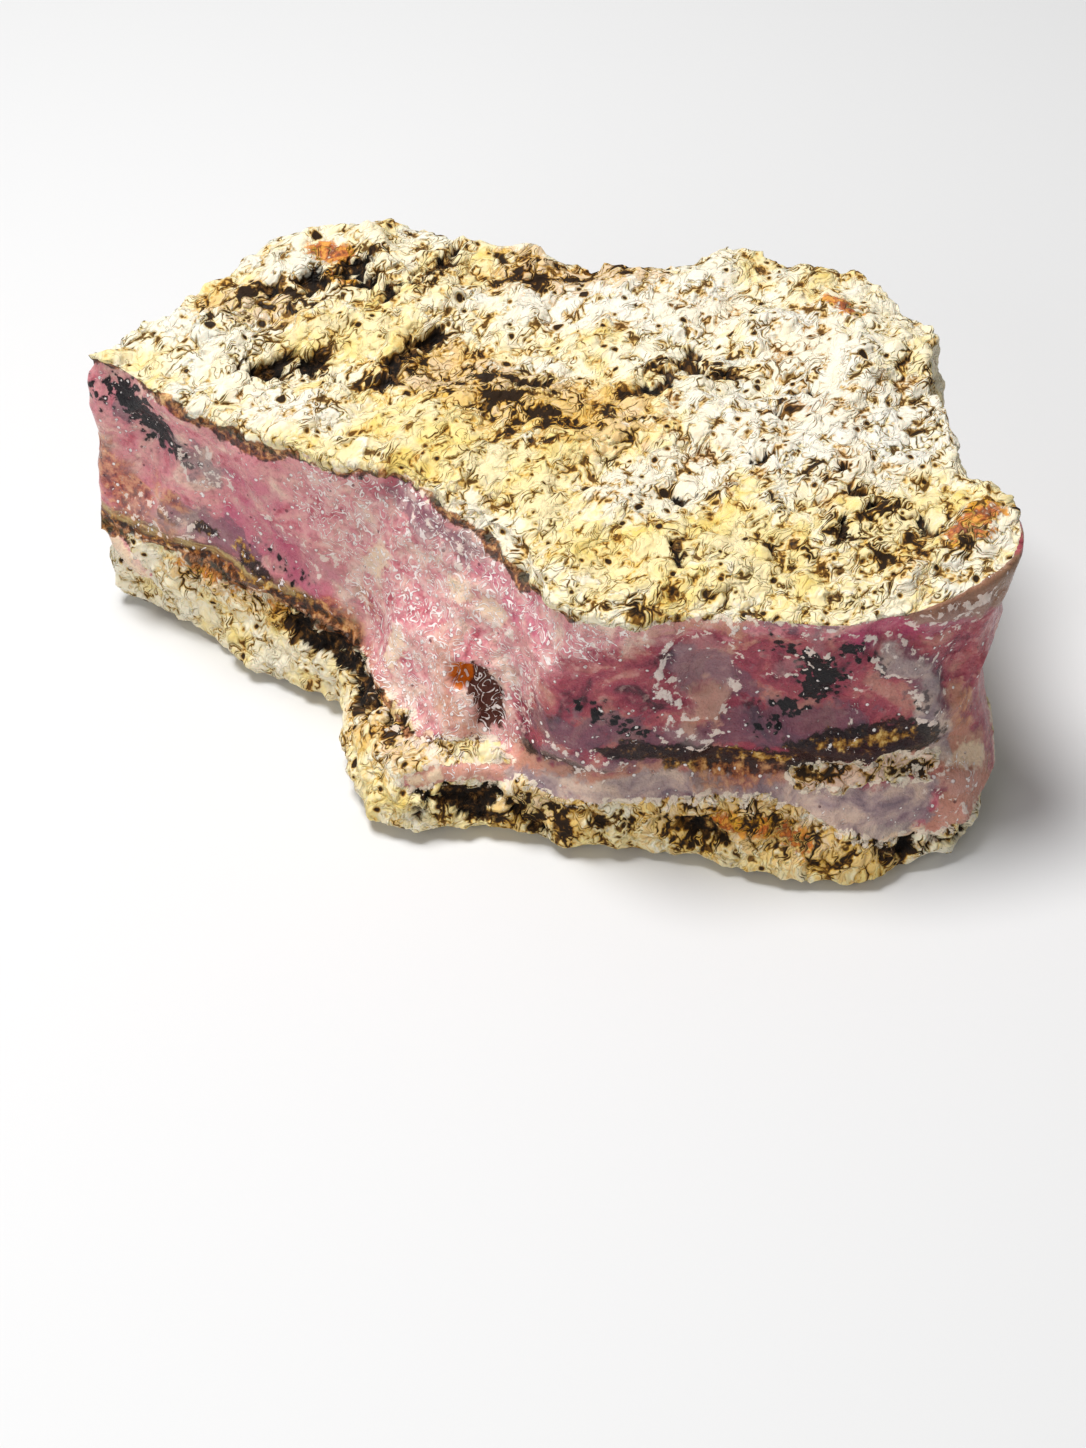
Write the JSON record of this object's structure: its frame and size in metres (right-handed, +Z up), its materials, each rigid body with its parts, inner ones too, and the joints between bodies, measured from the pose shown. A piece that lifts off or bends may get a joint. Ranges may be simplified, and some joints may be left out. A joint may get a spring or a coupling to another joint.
{
  "type": "rough pink opal specimen",
  "caption": "Broken block of pink opal between two pale, pitted host-rock crusts, lying on its crusty underside.",
  "frame": {"origin": "on the ground under the middle of the stone's bounding box", "axes": "+X along the long side, +Z up, -Y is the side where the opal wall shows best"},
  "size_m": [0.1024, 0.0722, 0.0409],
  "materials": {
    "stone": "matte"
  },
  "bodies": {
    "root": {"opal_stone": "stone"}
  },
  "joints": []
}
